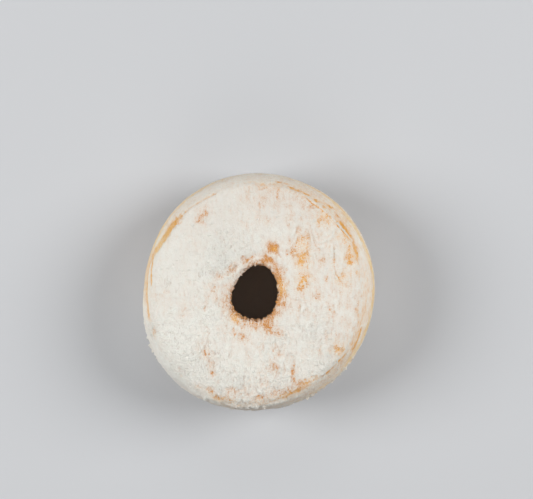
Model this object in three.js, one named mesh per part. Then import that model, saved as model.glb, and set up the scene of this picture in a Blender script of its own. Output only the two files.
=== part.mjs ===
// Sugared ring doughnut, one solid, in millimetres, +Z up.
//
// The ring lies on its rounder side with the flat, pressed face up. Its section is a
// closed curve of Bezier arcs: a flat resting ring, a round flank out to the widest
// line, a steeper flank up to the edge of the face, a slightly crowned face, and a
// hole that narrows from its mouth to a throat and flares towards the underside.
// The section is lathed round Z, then the round ring is made as uneven as the real
// one: its outline, its hole, the height of its face and the height of its widest line
// each vary round the ring by a few slow waves.

import * as THREE from "three";
import { mergeVertices } from "three/addons/utils/BufferGeometryUtils.js";

// Driving sizes, in mm
const HEIGHT = 32; // resting ring to the crown of the face
const OUTER_R = 43; // mean radius at the widest line
const WIDEST_Z = 15; // height of the widest line
const FACE_R = 38.3; // where the flank turns over into the face
const FACE_EDGE_Z = 30.3;
const CROWN_R = 26; // the highest ring of the face
const MOUTH_R = 12.2; // where the face turns down into the hole
const MOUTH_Z = 31.2;
const THROAT_R = 9.0; // narrowest ring of the hole
const THROAT_Z = 25.5;
const BASE_IN_R = 17.5; // the flat ring that it rests on
const BASE_OUT_R = 33;

// Steps along each arc of the section, and round the ring
const STEPS = { under: 7, flank: 6, edge: 5, face: 3, mouth: 6, funnel: 8 };
const ROUND = 84;

// Slow waves round the ring: [waves per turn, share of the radius or mm, phase in degrees]
const OUTLINE = [[2, 0.0175, 117], [3, 0.0095, -14], [4, 0.006, 166]];
const HOLE = [[2, 0.1, 142], [3, 0.041, 233], [5, 0.012, 40]];
const FACE_TILT = [[1, 0.008, 250], [2, 0.006, 70], [3, 0.004, 200]];
const WIDEST_WANDER = [[1, 0.7, 30], [2, 0.5, 160], [3, 0.35, 290]];

const waves = (list, angle) =>
  list.reduce((sum, [n, size, phase]) => sum + size * Math.cos(n * angle - THREE.MathUtils.degToRad(phase)), 0);

// The section, from the inner edge of the resting ring outwards and round. Each arc
// gives its end and two handles.
function section() {
  const arcs = [
    [STEPS.under, [BASE_OUT_R + 5.6, 0], [OUTER_R, WIDEST_Z - 9.2], [OUTER_R, WIDEST_Z]],
    [STEPS.flank, [OUTER_R, WIDEST_Z + 7.6], [FACE_R + 2.1, FACE_EDGE_Z - 2.2], [FACE_R, FACE_EDGE_Z]],
    [STEPS.edge, [FACE_R - 1.3, FACE_EDGE_Z + 1.3], [FACE_R - 5.5, HEIGHT], [CROWN_R, HEIGHT]],
    [STEPS.face, [CROWN_R - 6, HEIGHT], [MOUTH_R + 3.2, HEIGHT - 0.1], [MOUTH_R, MOUTH_Z]],
    [STEPS.mouth, [MOUTH_R - 1.7, MOUTH_Z - 0.5], [THROAT_R, THROAT_Z + 3], [THROAT_R, THROAT_Z]],
    [STEPS.funnel, [THROAT_R, THROAT_Z - 8.5], [BASE_IN_R - 4.9, 0], [BASE_IN_R, 0]],
  ];
  const points = [new THREE.Vector2(BASE_IN_R, 0), new THREE.Vector2(BASE_OUT_R, 0)];
  for (const [steps, a, b, end] of arcs) {
    const curve = new THREE.CubicBezierCurve(
      points[points.length - 1].clone(),
      new THREE.Vector2(...a),
      new THREE.Vector2(...b),
      new THREE.Vector2(...end),
    );
    points.push(...curve.getPoints(steps).slice(1));
  }
  points[points.length - 1].copy(points[0]); // the section closes on itself
  return points;
}

// Moves a point of the round ring to its place on the uneven one. Heights only scale or
// slide between the resting ring and the face, so the resting ring stays flat.
function uneven(r, angle, z) {
  const out = THREE.MathUtils.smoothstep(r, THROAT_R, OUTER_R);
  const radius = r * (1 + (1 - out) * waves(HOLE, angle) + out * waves(OUTLINE, angle));
  const up = z / HEIGHT;
  const height = z * (1 + waves(FACE_TILT, angle)) + 4 * up * (1 - up) * waves(WIDEST_WANDER, angle) * out;
  return new THREE.Vector3(radius * Math.cos(angle), radius * Math.sin(angle), height);
}

// Lathe, stand the axis up, then make it uneven
let ring = new THREE.LatheGeometry(section(), ROUND);
ring.rotateX(Math.PI / 2);
ring.deleteAttribute("normal");
ring.deleteAttribute("uv");
ring = mergeVertices(ring, 1e-3);
const at = ring.getAttribute("position");
for (let i = 0; i < at.count; i++) {
  const x = at.getX(i), y = at.getY(i);
  const p = uneven(Math.hypot(x, y), Math.atan2(y, x), at.getZ(i));
  at.setXYZ(i, p.x, p.y, Math.abs(p.z) < 1e-4 ? 0 : p.z);
}

// The origin is the middle of the footprint, on the surface that it rests on
ring.computeBoundingBox();
const box = ring.boundingBox;
ring.translate(-(box.min.x + box.max.x) / 2, -(box.min.y + box.max.y) / 2, 0);
ring.computeVertexNormals();

// Fried dough under a dusting of white sugar
const sugared = new THREE.MeshStandardMaterial({ color: 0xe6dfd1, roughness: 0.92, metalness: 0 });
const doughnut = new THREE.Mesh(ring, sugared);
doughnut.name = "doughnut";

const part = new THREE.Group();
part.add(doughnut);

export default part;
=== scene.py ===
"""A sugared ring doughnut lying on its rounder side with the flat, pressed face up.

The dough is one dense closed mesh on the same section and the same slow waves as the
solid. The layer of sugar on it is real relief: it is thick on the pressed face, thin at
the hole and on the flank, and flaked off in named patches where the fried crust shows.
Loose clumps and flakes of sugar are a second mesh, and its thin raised folds a third.
Colours come from the layer's thickness, with finer grain added in the material. Painted shade lies in the sugar's
hollows and low points, in its gouges and down the hole, and painted shade and light lie towards the face's edge.
Lengths are in millimetres until a mesh is made.
"""

import itertools
import math

import bpy
import numpy as np
from mathutils import Matrix


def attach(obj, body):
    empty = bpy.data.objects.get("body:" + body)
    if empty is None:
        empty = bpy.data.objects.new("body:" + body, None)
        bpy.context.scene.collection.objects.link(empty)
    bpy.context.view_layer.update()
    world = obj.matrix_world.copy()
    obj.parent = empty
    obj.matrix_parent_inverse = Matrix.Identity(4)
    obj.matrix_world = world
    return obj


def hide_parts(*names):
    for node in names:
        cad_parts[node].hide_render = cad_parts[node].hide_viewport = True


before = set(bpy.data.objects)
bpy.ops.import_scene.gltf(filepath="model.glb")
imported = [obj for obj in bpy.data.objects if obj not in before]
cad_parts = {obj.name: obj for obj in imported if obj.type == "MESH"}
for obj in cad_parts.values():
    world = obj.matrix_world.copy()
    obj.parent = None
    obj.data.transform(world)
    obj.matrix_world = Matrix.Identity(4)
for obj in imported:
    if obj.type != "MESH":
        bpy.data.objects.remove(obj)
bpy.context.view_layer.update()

MM = 0.001

# ---------------------------------------------------------------- sizes, as in the solid
HEIGHT = 32.0
OUTER_R = 43.0
WIDEST_Z = 15.0
FACE_R = 38.3
FACE_EDGE_Z = 30.3
CROWN_R = 26.0
MOUTH_R = 12.2
MOUTH_Z = 31.2
THROAT_R = 9.0
THROAT_Z = 25.5
BASE_IN_R = 17.5
BASE_OUT_R = 33.0

OUTLINE = [(2, 0.0175, 117), (3, 0.0095, -14), (4, 0.006, 166)]
HOLE = [(2, 0.1, 142), (3, 0.041, 233), (5, 0.012, 40)]
FACE_TILT = [(1, 0.008, 250), (2, 0.006, 70), (3, 0.004, 200)]
WIDEST_WANDER = [(1, 0.7, 30), (2, 0.5, 160), (3, 0.35, 290)]

# Columns round the ring, and rings along each arc of the section
ROUND = 552
RINGS = {"base": 3, "under": 18, "flank": 34, "edge": 38, "face": 44, "mouth": 22, "funnel": 20}

# ---------------------------------------------------------------- the sugar's layout
# Places are on the upper side laid out flat: x and y in mm, where the distance from the
# middle is measured along the surface. The face's edge is at 39 and the widest line at 55.

# Patches where the sugar is thin or gone: x, y, half width, half height, turn, bareness
PATCHES = [
    (-18.6, 29.2, 1.4, 2.2, -20, 0.38), (-20.4, 26.4, 0.8, 0.7, 20, 1.0), (-19.2, 27.9, 0.5, 0.9, -30, 0.65), (-17.4, 28.5, 0.5, 0.8, 20, 0.6), (-18.2, 25.6, 0.4, 0.6, 0, 0.45), (-26.4, -0.9, 1.1, 1.1, 0, 0.18), (-25.3, -6.3, 1.1, 1.8, 0, 0.20), (-33.0, 0.6, 1.1, 1.1, 0, 0.12),
    (-36.3, -13.9, 0.9, 1.2, 0, 0.62), (-17.3, -4.9, 0.5, 0.9, 0, 0.62), (-17.4, -1.7, 0.5, 1.2, 0, 0.42), (-15.2, 1.5, 1.2, 1.8, 0, 0.46), (-14.3, 6.7, 1.2, 1.0, 40, 0.55),
    (-10.2, 9.3, 3.2, 0.9, 40, 0.48), (-2.6, 11.5, 0.8, 0.6, 20, 0.90), (-0.8, 11.8, 0.6, 0.6, 0, 1.0), (-7.8, 9.6, 1.5, 0.6, 35, 0.45), (-10.4, 9.0, 1.2, 0.8, 40, 0.5), (-4.2, 12.2, 0.7, 0.6, 30, 0.7), (-1.5, 9.6, 0.7, 0.7, 0, 0.50),
    (4.4, 10.9, 1.7, 0.9, -20, 1.0), (2.8, 9.9, 1.1, 0.7, 10, 0.95), (5.4, 10.4, 0.9, 0.7, 0, 0.85), (6.6, 9.7, 0.6, 0.6, 0, 0.85), (5.8, 9.4, 1.6, 0.9, -40, 0.5), (5.7, 14.6, 1.7, 1.6, 0, 1.00), (5.0, 14.2, 0.9, 1.1, 0, 1.00), (6.6, 14.4, 1.0, 0.9, 0, 1.00), (7.6, 12.9, 1.0, 0.4, -35, 0.50), (10.9, 7.6, 0.4, 1.2, -30, 0.35),
    (12.5, 4.4, 0.5, 0.9, 0, 0.62), (12.6, -1.2, 0.6, 0.5, 0, 0.62), (11.4, -3.9, 0.6, 0.5, 0, 0.55), (15.9, 18.9, 0.9, 2.0, 0, 0.66), (14.9, 21.5, 0.6, 0.8, 0, 0.6), (18.0, 19.3, 0.6, 1.2, 0, 0.72), (18.0, 15.9, 0.6, 1.0, 0, 0.7), (12.7, 14.1, 0.7, 0.8, 0, 0.66),
    (18.8, 19.2, 0.6, 2.5, 10, 0.60), (16.6, 12.6, 2.6, 2.6, 0, 0.66), (17.5, 12.9, 1.0, 1.4, 0, 0.95), (16.9, 11.2, 0.9, 0.7, 0, 0.85), (11.8, 17.2, 0.6, 1.1, 20, 0.50),
    (11.4, 13.8, 0.6, 0.7, 0, 0.50), (13.9, 14.9, 1.4, 2.1, 0, 0.35), (18.3, 5.2, 2.2, 2.6, 0, 0.54), (18.7, 6.1, 0.9, 1.0, 0, 0.9), (17.9, 4.5, 0.7, 0.6, 0, 0.75), (17.2, 2.3, 0.5, 0.6, 0, 0.8), (18.4, 2.8, 0.5, 0.6, 0, 0.75), (20.5, 6.9, 0.5, 0.6, 0, 0.6), (16.8, 7.2, 0.5, 0.6, 0, 0.6),
    (17.8, 1.9, 1.1, 1.4, 0, 0.55), (23.9, 11.5, 0.5, 1.0, 0, 0.85), (25.4, 12.3, 0.5, 1.0, 10, 0.50), (26.4, 5.1, 0.4, 0.8, 0, 0.50), (28.1, 11.4, 0.4, 1.1, 0, 0.50),
    (33.3, 15.9, 0.9, 1.3, 5, 0.70), (34.0, 11.5, 1.1, 1.3, 5, 1.00), (33.6, 13.6, 0.9, 1.1, 0, 0.85), (36.7, 15.3, 0.9, 2.2, 8, 1.00), (36.8, 14.8, 0.7, 1.6, 8, 1.00), (31.9, 23.1, 1.1, 2.8, 35, 0.90), (25.0, 25.9, 2.3, 1.3, -20, 0.50),
    (22.4, 24.9, 0.6, 1.4, 0, 0.40), (19.2, 30.4, 1.2, 0.6, 0, 0.62), (31.9, 19.6, 1.4, 1.8, 30, 0.40), (11.5, 25.5, 0.9, 0.7, 0, 0.45), (16.0, 25.5, 0.5, 0.6, 0, 0.6),
    (11.4, 22.8, 0.7, 1.1, 0, 0.20), (32.2, 6.6, 1.6, 2.0, 0, 0.40), (33.2, 3.5, 0.5, 0.6, 0, 0.75), (31.4, 4.3, 0.5, 0.5, 0, 0.55), (37.0, 7.2, 0.7, 1.1, 15, 0.35), (30.4, 4.3, 0.6, 0.7, 0, 0.30),
    (26.3, 5.4, 0.5, 1.1, 0, 0.34), (24.0, -1.0, 1.1, 1.1, 0, 0.60), (28.5, -5.8, 0.7, 2.0, 20, 0.50), (29.4, -7.6, 0.6, 0.8, 0, 0.45),
    (17.4, -5.1, 0.5, 2.0, -15, 0.45), (16.4, -9.1, 0.5, 1.4, 0, 0.25), (-7.0, -12.3, 0.5, 0.7, 0, 0.75), (-7.2, -13.5, 0.4, 0.6, 0, 0.65), (-4.1, -14.7, 0.7, 0.8, 30, 0.95), (-5.5, -13.6, 0.4, 0.5, 0, 0.6),
    (-9.9, -0.6, 0.5, 0.8, 0, 0.5), (-10.2, -4.0, 0.5, 1.2, 0, 0.35), (4.3, -10.9, 1.9, 1.0, -5, 1.0), (4.6, -12.8, 1.4, 1.2, 0, 0.72), (7.0, -13.4, 1.4, 0.6, -30, 0.6),
    (8.8, -13.6, 1.6, 1.1, -30, 0.50), (1.9, -10.6, 1.1, 0.5, 0, 0.5), (6.9, -18.5, 0.7, 1.6, 10, 0.34), (8.6, -21.3, 1.1, 0.6, 20, 0.5),
    (7.1, -25.6, 1.1, 1.8, 0, 0.62), (1.5, -27.7, 0.5, 0.6, 0, 0.30), (13.7, -27.5, 0.5, 2.8, 0, 0.60), (30.4, -20.1, 1.7, 1.6, 0, 0.60), (30.6, -19.9, 0.9, 0.8, 0, 0.60),
    (30.2, -16.1, 0.5, 0.9, 0, 0.35), (23.0, -20.7, 1.1, 1.1, 0, 0.22), (37.0, -4.9, 0.6, 2.1, 0, 0.42), (-12.9, -36.8, 1.7, 0.8, -12, 0.95), (-15.2, -34.6, 0.8, 0.8, 0, 0.7), (-11.6, -39.0, 0.8, 0.8, 0, 0.6), (-8.2, -38.2, 0.9, 0.8, 0, 0.7), (-9.6, -41.2, 1.4, 0.7, 0, 0.5), (-5.4, -40.4, 1.6, 0.6, 0, 0.36),
    (-15.2, -33.4, 1.1, 0.9, 0, 0.52), (-9.4, -36.5, 1.6, 0.9, 0, 0.55), (-7.9, -34.0, 2.1, 1.1, 0, 0.46), (-1.0, -39.4, 3.0, 0.8, 0, 0.26), (1.6, -36.6, 0.9, 0.6, 0, 0.3), (-19.7, -32.2, 0.9, 0.8, -40, 0.32),
    (-16.7, -19.7, 0.7, 0.6, 0, 1.0), (-16.0, -20.2, 2.4, 1.6, 0, 0.26), (-16.4, -16.0, 1.4, 2.4, 0, 0.15), (-14.4, -27.2, 0.6, 0.8, 15, 0.95), (-15.2, -24.0, 1.3, 2.8, 8, 0.34), (-15.9, -12.4, 0.6, 1.6, 0, 0.14),
    (-3.0, -35.2, 3.2, 1.6, 0, 0.22), (10.5, -35.2, 4.6, 1.6, 14, 0.55), (17.5, -33.2, 3.0, 1.3, 12, 0.60), (3.0, -37.0, 3.4, 1.0, 4, 0.42), (14.0, -36.2, 3.0, 0.8, 14, 0.5), (3.0, 37.5, 1.8, 1.2, 0, 0.34),
    (3.2, 33.4, 0.6, 0.7, 0, 0.36), (-3.9, 32.2, 1.1, 1.4, 0, 0.16), (-2.9, 23.3, 1.1, 1.4, 0, 0.16), (3.4, 24.1, 1.8, 1.1, 0, 0.14),
]

# Rubbed streaks, most of them along the face's edge: points, half width, bareness
STREAKS = [
    ([(-27.8, 27.3), (-31.1, 24.8), (-33.8, 21.1), (-36.8, 17.6), (-40.0, 15.0)], 1.65, 0.84),
    ([(-40.6, 14.4), (-42.4, 9.8), (-42.6, 4.9), (-41.8, -0.7), (-40.6, -5.7), (-39.3, -9.4)], 0.95, 0.72),
    ([(-39.4, 13.6), (-39.3, 8.0), (-38.5, 2.7)], 0.5, 0.85),
    ([(-27.8, 27.3), (-25.8, 29.1), (-22.8, 31.3), (-18.6, 33.5), (-13.7, 35.6)], 0.30, 0.42),
    ([(8.1, 41.5), (9.2, 41.6)], 0.6, 0.85),
    ([(10.9, 41.0), (12.0, 40.6)], 0.45, 0.6),
    ([(12.3, 39.0), (14.3, 37.6)], 0.5, 0.9),
    ([(15.1, 37.3), (16.1, 37.1)], 0.6, 0.95),
    ([(17.6, 36.3), (19.6, 35.6)], 0.5, 0.95),
    ([(21.3, 33.4), (22.3, 33.1)], 0.8, 1.0),
    ([(24.3, 31.1), (25.2, 31.1)], 0.7, 0.8),
    ([(27.4, 31.9), (28.6, 32.1)], 0.8, 0.8),
    ([(29.3, 28.3), (30.2, 28.3)], 0.55, 0.65),
    ([(31.0, 25.6), (32.3, 23.6), (33.4, 22.1), (34.3, 20.6)], 0.80, 0.92),
    ([(35.4, 18.9), (35.7, 17.4), (35.9, 15.6)], 0.40, 0.90),
    ([(17.9, 34.0), (20.4, 31.4), (23.0, 29.8), (25.5, 27.7), (27.8, 25.8)], 0.30, 0.90),
    ([(27.8, 25.8), (29.7, 23.6), (31.8, 21.4), (34.0, 19.4)], 0.28, 0.90),
    ([(40.3, -13.2), (39.4, -18.0), (38.0, -22.6)], 0.6, 0.85),
    ([(33.6, -22.6), (30.4, -25.6), (27.4, -28.4), (24.6, -30.4)], 0.36, 0.72),
    ([(14.2, -31.9), (16.8, -31.5), (19.3, -31.5), (21.5, -30.7), (23.1, -30.1)], 0.95, 0.60),
    ([(13.8, -24.8), (13.8, -27.7), (13.9, -31.2)], 0.75, 0.6),
    ([(1.1, -40.5), (4.2, -39.9), (6.5, -38.9), (10.1, -37.8)], 0.28, 0.50),
    ([(10.1, -37.8), (15.0, -35.4), (18.7, -33.8)], 0.9, 0.5),
    ([(28.0, 16.8), (28.4, 13.5), (28.5, 10.8)], 0.24, 0.62),
    ([(28.8, 9.9), (29.4, 7.3), (31.3, 4.6)], 0.20, 0.40),
    ([(8.9, 6.8), (9.8, 3.8), (10.25, 1.0), (10.1, -2.2), (9.0, -5.0)], 0.60, 0.98),
    ([(-7.6, -6.9), (-6.9, -8.4), (-5.3, -9.7)], 0.62, 0.98),
    ([(37.5, 1.3), (37.5, -3.3), (37.3, -7.9)], 0.25, 0.30),
    ([(-43.2, 16.6), (-44.3, 10.0), (-44.5, 3.0), (-43.6, -4.0)], 1.3, 0.42),
]

# Thin raised folds of sugar, as a scrape leaves them: points, width, height
FOLDS = [
    ([(26.6, 27.1), (27.9, 25.9), (30.0, 23.9), (32.6, 21.3), (35.3, 18.8)], 0.27, 0.34),
]

# Soft swells of sugar beside them: points, width, height
SWELLS = [
    ([(22.0, 31.2), (24.2, 29.3), (26.4, 27.3), (28.4, 25.4)], 0.42, 0.16), ([(18.0, 24.0), (19.0, 21.6), (19.8, 19.3), (20.7, 16.4)], 0.50, 0.24), ([(20.9, 15.2), (21.5, 12.8), (23.0, 11.2)], 0.42, 0.18),
    ([(27.3, 17.4), (27.6, 15.0), (27.9, 12.4), (27.8, 10.8)], 0.46, 0.25), ([(28.1, 9.8), (28.8, 7.6), (29.9, 5.7), (30.9, 4.4)], 0.40, 0.17),
    ([(22.7, 27.0), (20.8, 25.4), (19.2, 24.1)], 0.45, 0.14), ([(28.3, 24.2), (27.8, 21.7), (26.6, 19.3), (21.6, 17.5)], 0.55, 0.18),
    ([(20.6, 22.0), (21.4, 19.9), (22.0, 18.0)], 0.45, 0.12), ([(21.4, 16.8), (24.6, 16.2)], 0.45, 0.12), ([(21.6, 15.4), (23.4, 14.6), (24.8, 13.2)], 0.45, 0.12),
    ([(18.9, 29.6), (21.6, 30.9)], 0.5, 0.10), ([(12.0, 17.6), (12.8, 19.9), (14.2, 22.2)], 0.5, 0.20), ([(13.4, 16.6), (14.4, 19.2), (15.2, 20.8)], 0.45, 0.16),
    ([(18.4, -1.4), (18.9, -4.2), (18.3, -8.0)], 0.6, 0.16), ([(11.4, -13.6), (12.1, -16.2), (11.9, -19.6)], 0.6, 0.16), ([(20.4, -10.0), (19.6, -13.4), (19.8, -16.0)], 0.6, 0.14),
    ([(-8.9, -17.0), (-9.5, -19.7), (-9.1, -22.6)], 0.6, 0.16), ([(-4.9, -27.8), (-4.3, -30.8), (-4.7, -33.6)], 0.6, 0.18), ([(9.5, -24.0), (10.0, -27.0), (9.4, -30.0)], 0.7, 0.16),
    ([(-12.3, 5.6), (-11.0, 8.2), (-8.3, 10.6), (-4.9, 11.9)], 0.55, 0.16), ([(30.9, 15.6), (31.4, 10.6), (30.6, 7.4)], 0.8, 0.10), ([(24.1, -10.5), (25.3, -13.2), (24.6, -16.2)], 0.6, 0.12),
]

# Broad zones of the face where the sugar is thinner (minus) or thicker: x, y, radius, change
ZONES = [
    (24.0, 18.0, 13.0, -0.21), (21.0, 0.0, 10.0, -0.16), (34.0, -3.0, 8.0, -0.23), (34.0, -14.0, 8.0, -0.30), (30.0, 24.0, 8.0, -0.16),
    (-3.0, -15.0, 5.0, -0.29), (11.6, -19.8, 4.0, -0.14), (7.0, -24.5, 6.5, -0.29), (34.5, 6.0, 6.0, -0.18), (30.0, -18.0, 8.0, -0.12), (11.0, 33.0, 7.0, -0.16), (-10.0, -10.5, 5.0, -0.12), (-3.0, 35.0, 9.0, -0.08),
    (19.0, 12.0, 7.0, -0.14), (14.0, -4.0, 8.0, -0.12), (3.0, 33.0, 9.0, -0.19), (20.0, 31.0, 8.0, -0.14), (8.0, 36.0, 8.0, -0.10), (1.0, 24.0, 7.0, -0.09), (16.0, 30.0, 7.0, -0.14), (-6.0, -22.0, 6.0, -0.02), (2.0, -31.0, 7.0, -0.10),
    (8.0, -36.0, 9.0, -0.13), (-13.0, -35.0, 7.0, -0.14), (-16.0, -2.0, 7.0, -0.18), (-13.0, -24.0, 6.0, 0.02), (-27.0, -4.0, 5.0, -0.11),
    (6.0, -20.0, 8.0, -0.08), (-36.0, -4.0, 6.0, -0.12), (22.0, -12.0, 6.0, -0.11), (24.0, -24.0, 7.0, 0.0), (-26.0, 12.0, 13.0, 0.06),
    (-26.0, -16.0, 9.0, 0.14), (-6.0, 19.0, 9.0, 0.10), (-22.0, -28.0, 8.0, 0.12), (4.0, -29.0, 6.0, -0.08),
]

# Where the sugar lies in rough clumps rather than pressed smooth: x, y, radius, roughness
ROUGH = [
    (-24.0, -24.0, 14.0, 0.8), (-8.0, -34.0, 12.0, 1.0), (8.0, -30.0, 14.0, 0.8), (-12.0, 12.0, 9.0, 1.0),
    (-14.0, -6.0, 10.0, 0.7), (8.0, -16.0, 9.0, 0.6), (28.0, -28.0, 11.0, 0.9), (22.0, -16.0, 9.0, 0.5),
    (-4.0, 15.0, 6.0, 0.7), (-37.0, -14.0, 6.0, 0.9), (0.0, -47.0, 12.0, 0.8), (-21.0, -42.0, 9.0, 0.7), (21.0, -42.0, 10.0, 0.8), (34.0, -33.0, 8.0, 0.6),
]


# How much sugar is left round the flank, and more (or less) of it round the hole's mouth
SIDE = [(0, 0.36), (20, 0.52), (45, 0.40), (65, 0.42), (85, 0.54), (120, 0.54), (142, 0.36), (180, 0.54), (200, 0.72), (218, 1.0), (240, 0.40), (275, 0.38), (300, 0.33), (322, 0.32), (340, 0.36)]
SIDE_LOW = [(0, 0.36), (45, 0.38), (85, 0.54), (120, 0.44), (145, 0.30), (180, 0.28), (198, 0.9), (222, 1.0), (245, 0.6), (285, 0.6), (315, 0.4), (345, 0.42)]
MOUTH = [(0, -0.08), (45, -0.10), (70, -0.10), (90, 0.0), (120, 0.12), (150, 0.10), (180, 0.04), (225, -0.10), (270, -0.12), (315, -0.14)]
# How far the sugar stands out as a rough lip over the face's edge
LIP = [(205, 0.0), (232, 0.55), (248, 1.0), (276, 1.0), (290, 0.55), (305, 0.15), (325, 0.0), (360, 0.0)]
# How torn the sugar's edge is where it shows as the outline
TORN = [(0, 0.12), (60, 0.10), (120, 0.10), (180, 0.15), (196, 0.35), (203, 1.0), (211, 1.0), (218, 0.45), (240, 0.4), (262, 0.5), (276, 0.5), (288, 0.9), (320, 1.0), (330, 0.35), (345, 0.15)]
# The pale line round the widest part: how well it shows, and its place along the surface
PALE = [(0, 1.0), (30, 0.9), (50, 0.9), (66, 0.4), (90, 0.15), (108, 0.4), (118, 0.9), (145, 0.95), (165, 0.7), (185, 0.3), (200, 0.1), (250, 0.1), (285, 0.35), (297, 0.7), (312, 0.4), (325, 0.9), (345, 1.0)]
PALE_PLACE = [(0, 50.4), (8, 50.8), (22, 48.4), (33, 48.6), (42, 49.7), (55, 50.6), (90, 50.0), (115, 48.6), (142, 48.4), (165, 48.6), (200, 50.0), (290, 49.8), (312, 49.0), (328, 48.0), (344, 50.3)]
# Where the face is duller (plus) or brighter (minus) towards its edge: painted shade and painted light
PAINTED_SHADE_AND_LIGHT = [(8, 0.55), (25, 0.3), (45, 0.6), (60, 0.8), (75, 1.1), (95, 0.9), (115, 1.1), (130, 0.8), (150, 0.42), (165, 0.42), (185, 0.3), (198, 0.0), (208, 0.0), (218, -0.25), (228, 0.05), (240, 0.2), (255, -0.3), (270, -0.6), (285, -0.5), (295, -0.3), (305, -0.1), (318, 0.1), (335, 0.35), (355, 0.1)]
# Painted shade on the lower flank
FLANK_PAINTED_SHADE = [(190, 0.0), (212, 0.5), (235, 1.0), (272, 1.0), (295, 0.4), (315, 0.0)]
# Where the crust that shows is golden rather than brown: x, y, radius
GOLDEN = [(6.4, 14.2, 1.0), (17.0, 11.5, 4.6), (18.5, 4.5, 4.2), (35.0, 15.0, 8.0), (32.0, 23.0, 7.0), (32.0, 5.0, 5.0), (30.4, -20.0, 4.0), (24.5, 26.0, 5.0), (20.0, -31.0, 3.0), (10.6, 2.0, 3.5), (-6.6, -8.6, 2.5), (16.5, 17.5, 3.5)]


# ---------------------------------------------------------------- noise
def smooth(x, low, high):
    t = np.clip((x - low) / (high - low), 0, 1)
    return t * t * (3 - 2 * t)


class Noise:
    """Seeded gradient noise and cell noise over points in space."""

    def __init__(self, seed):
        rng = np.random.default_rng(seed)
        self.perm = np.tile(rng.permutation(256), 2)
        g = rng.normal(size=(256, 3))
        self.grad = g / np.linalg.norm(g, axis=1, keepdims=True)
        self.spot = rng.random((256, 4))

    def pick(self, i):
        i = i & 255
        return self.perm[self.perm[self.perm[i[..., 0]] + i[..., 1]] + i[..., 2]]

    def smooth(self, p):
        """About -1 to 1."""
        cell = np.floor(p).astype(int)
        f = p - cell
        u = f * f * f * (f * (f * 6 - 15) + 10)
        total = np.zeros(len(p))
        for corner in itertools.product((0, 1), repeat=3):
            c = np.array(corner)
            w = np.prod(np.where(c == 1, u, 1 - u), axis=1)
            total += w * (self.grad[self.pick(cell + c)] * (f - c)).sum(1)
        return total * 1.5

    def layers(self, p, count=3, gain=0.5):
        total, size, reach = 0.0, 1.0, 0.0
        for k in range(count):
            total = total + size * self.smooth(p * 2**k + 17.3 * k)
            reach += size
            size *= gain
        return total / reach

    def cells(self, p):
        """Distance to the nearest spot, the distance to the next one, and the nearest one's own number."""
        cell = np.floor(p).astype(int)
        near = np.full(len(p), 9.0)
        second = near.copy()
        own = np.zeros(len(p))
        for corner in itertools.product((-1, 0, 1), repeat=3):
            c = cell + np.array(corner)
            s = self.spot[self.pick(c)]
            d = np.linalg.norm(c + s[:, :3] - p, axis=1)
            closer = d < near
            second = np.where(closer, near, np.minimum(second, d))
            own = np.where(closer, s[:, 3], own)
            near = np.where(closer, d, near)
        return near, second, own


# ---------------------------------------------------------------- the ring's shape
def waves(table, angle):
    return sum(size * np.cos(n * angle - math.radians(phase)) for n, size, phase in table)


def arc(points, count):
    """Points along a cubic arc, evenly spaced, without the first one."""
    p = np.array(points, float)
    t = np.linspace(0, 1, 400)[:, None]
    fine = (1 - t) ** 3 * p[0] + 3 * (1 - t) ** 2 * t * p[1] + 3 * (1 - t) * t * t * p[2] + t**3 * p[3]
    along = np.concatenate([[0], np.cumsum(np.hypot(*np.diff(fine, axis=0).T))])
    at = np.linspace(0, along[-1], count + 1)[1:]
    return np.stack([np.interp(at, along, fine[:, k]) for k in (0, 1)], 1)


def section():
    """The section's points (radius, height), from the resting ring's inner edge outwards and round, and the place of each along the surface."""
    w, e = WIDEST_Z, FACE_EDGE_Z
    corners = {
        "under": [(BASE_OUT_R, 0), (BASE_OUT_R + 5.6, 0), (OUTER_R, w - 9.2), (OUTER_R, w)],
        "flank": [(OUTER_R, w), (OUTER_R, w + 7.6), (FACE_R + 2.1, e - 2.2), (FACE_R, e)],
        "edge": [(FACE_R, e), (FACE_R - 1.3, e + 1.3), (FACE_R - 5.5, HEIGHT), (CROWN_R, HEIGHT)],
        "face": [(CROWN_R, HEIGHT), (CROWN_R - 6, HEIGHT), (MOUTH_R + 3.2, HEIGHT - 0.1), (MOUTH_R, MOUTH_Z)],
        "mouth": [(MOUTH_R, MOUTH_Z), (MOUTH_R - 3.3, MOUTH_Z - 0.1), (THROAT_R, THROAT_Z + 5.2), (THROAT_R, THROAT_Z)],
        "funnel": [(THROAT_R, THROAT_Z), (THROAT_R, THROAT_Z - 8.5), (BASE_IN_R - 4.9, 0), (BASE_IN_R, 0)],
    }
    base = np.linspace(BASE_IN_R, BASE_OUT_R, RINGS["base"] + 1)
    points = [np.stack([base, np.zeros_like(base)], 1)]
    mouth_at = 0
    for name, c in corners.items():
        points.append(arc(c, RINGS[name]))
        if name == "face":
            mouth_at = sum(len(p) for p in points) - 1
    points = np.concatenate(points)[:-1]  # the last point is the first again
    step = np.hypot(*np.diff(points, axis=0).T)
    run = np.concatenate([[0], np.cumsum(step)])
    # outwards from the mouth over the face and flank, and negative down into the hole
    place = MOUTH_R + (run[mouth_at] - run)
    return points, place


def uneven(r, angle, z):
    out = smooth(r, THROAT_R, OUTER_R)
    radius = r * (1 + (1 - out) * waves(HOLE, angle) + out * waves(OUTLINE, angle))
    up = z / HEIGHT
    height = z * (1 + waves(FACE_TILT, angle)) + 4 * up * (1 - up) * waves(WIDEST_WANDER, angle) * out
    return np.stack([radius * np.cos(angle), radius * np.sin(angle), height], -1)


profile, place = section()
turn = np.arange(ROUND) * 2 * math.pi / ROUND
rings = len(profile)
shape = (rings, ROUND)
base = uneven(profile[:, 0][:, None], turn[None, :], profile[:, 1][:, None])
low, high = base.reshape(-1, 3).min(0), base.reshape(-1, 3).max(0)
base -= [(low[0] + high[0]) / 2, (low[1] + high[1]) / 2, 0]

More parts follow.
